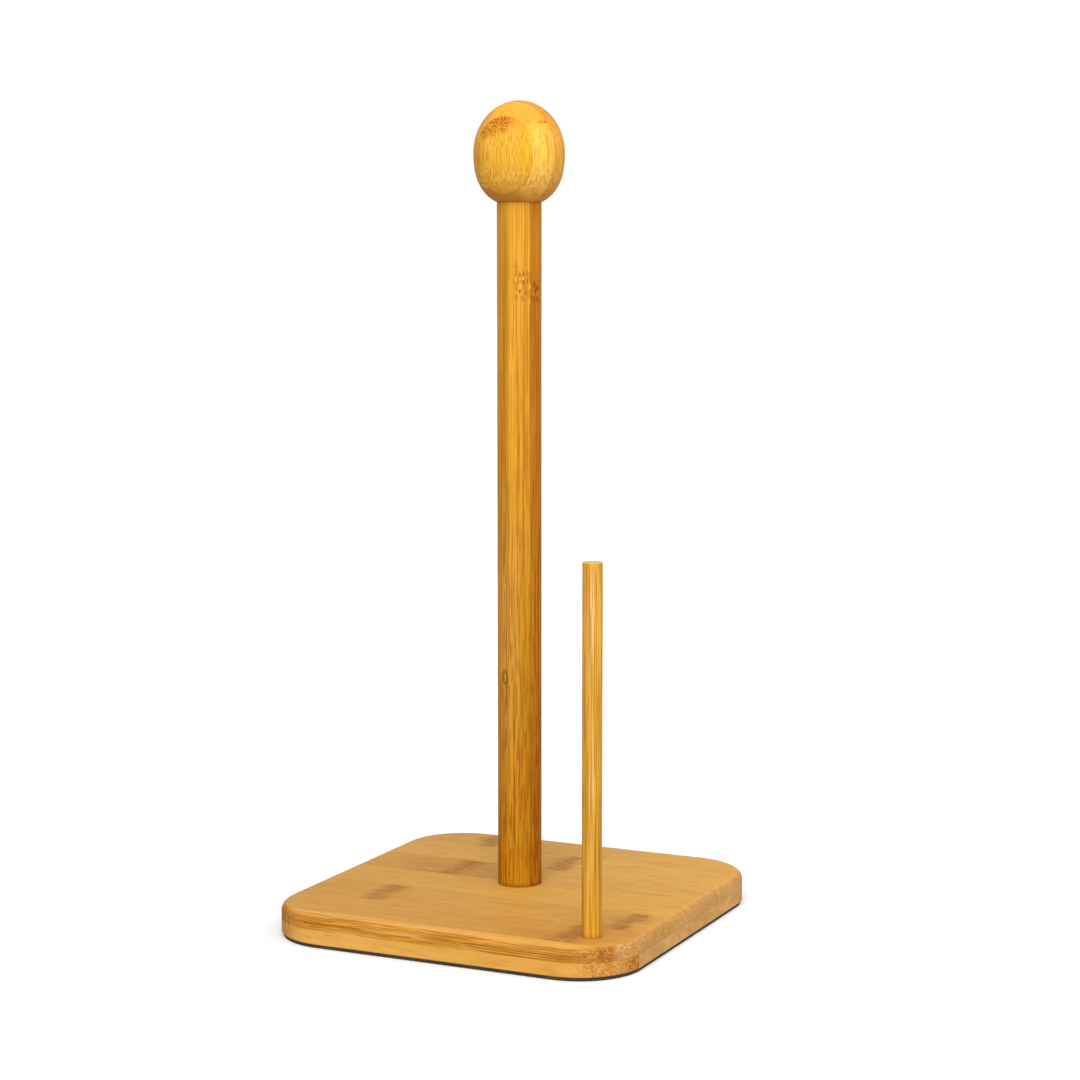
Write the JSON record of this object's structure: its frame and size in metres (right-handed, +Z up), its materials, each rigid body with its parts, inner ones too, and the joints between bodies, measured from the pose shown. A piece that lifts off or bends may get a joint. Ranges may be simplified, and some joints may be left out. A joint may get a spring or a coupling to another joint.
{
  "type": "roll stand",
  "caption": "Free-standing bamboo roll stand: square base on an anti-slip pad, tall round post with an egg-shaped knob, and a thin side rod that holds the roll's loose end.",
  "frame": {"origin": "middle of the anti-slip pad's underside, in the plane that the stand rests on", "axes": "+Z up along the post; +X along the base's front edge and grain, towards the corner with the side rod; +Y to the back"},
  "size_m": [0.156, 0.156, 0.3338],
  "materials": {
    "bamboo_top": "flat bamboo strips, sanded and thinly oiled, light caramel",
    "bamboo_bottom": "flat bamboo strips, sanded and thinly oiled, pale",
    "bamboo_post": "turned laminated bamboo, sanded and thinly oiled, orange-brown",
    "bamboo_knob": "turned laminated bamboo, sanded and thinly oiled, golden",
    "bamboo_rod": "round bamboo stick with fine dark fibres, raw",
    "dowel_wood": "fluted dowel, raw",
    "dark_foam": "dark grey foam rubber sheet, matt",
    "zinc_steel": "zinc-plated steel"
  },
  "bodies": {
    "root": {"top_strip_1": "bamboo_top", "top_strip_2": "bamboo_top", "top_strip_3": "bamboo_top", "top_strip_4": "bamboo_top", "top_strip_5": "bamboo_top", "top_strip_6": "bamboo_top", "top_strip_7": "bamboo_top", "bottom_strip_1": "bamboo_bottom", "bottom_strip_2": "bamboo_bottom", "bottom_strip_3": "bamboo_bottom", "bottom_strip_4": "bamboo_bottom", "bottom_strip_5": "bamboo_bottom", "bottom_strip_6": "bamboo_bottom", "bottom_strip_7": "bamboo_bottom", "anti_slip_pad": "dark_foam", "post_stave_1": "bamboo_post", "post_stave_2": "bamboo_post", "post_stave_3": "bamboo_post", "knob_layer_1": "bamboo_knob", "knob_layer_2": "bamboo_knob", "knob_layer_3": "bamboo_knob", "knob_layer_4": "bamboo_knob", "knob_layer_5": "bamboo_knob", "knob_dowel": "dowel_wood", "side_rod": "bamboo_rod", "threaded_insert": "zinc_steel", "bolt_washer": "zinc_steel", "base_bolt": "zinc_steel"}
  },
  "joints": []
}
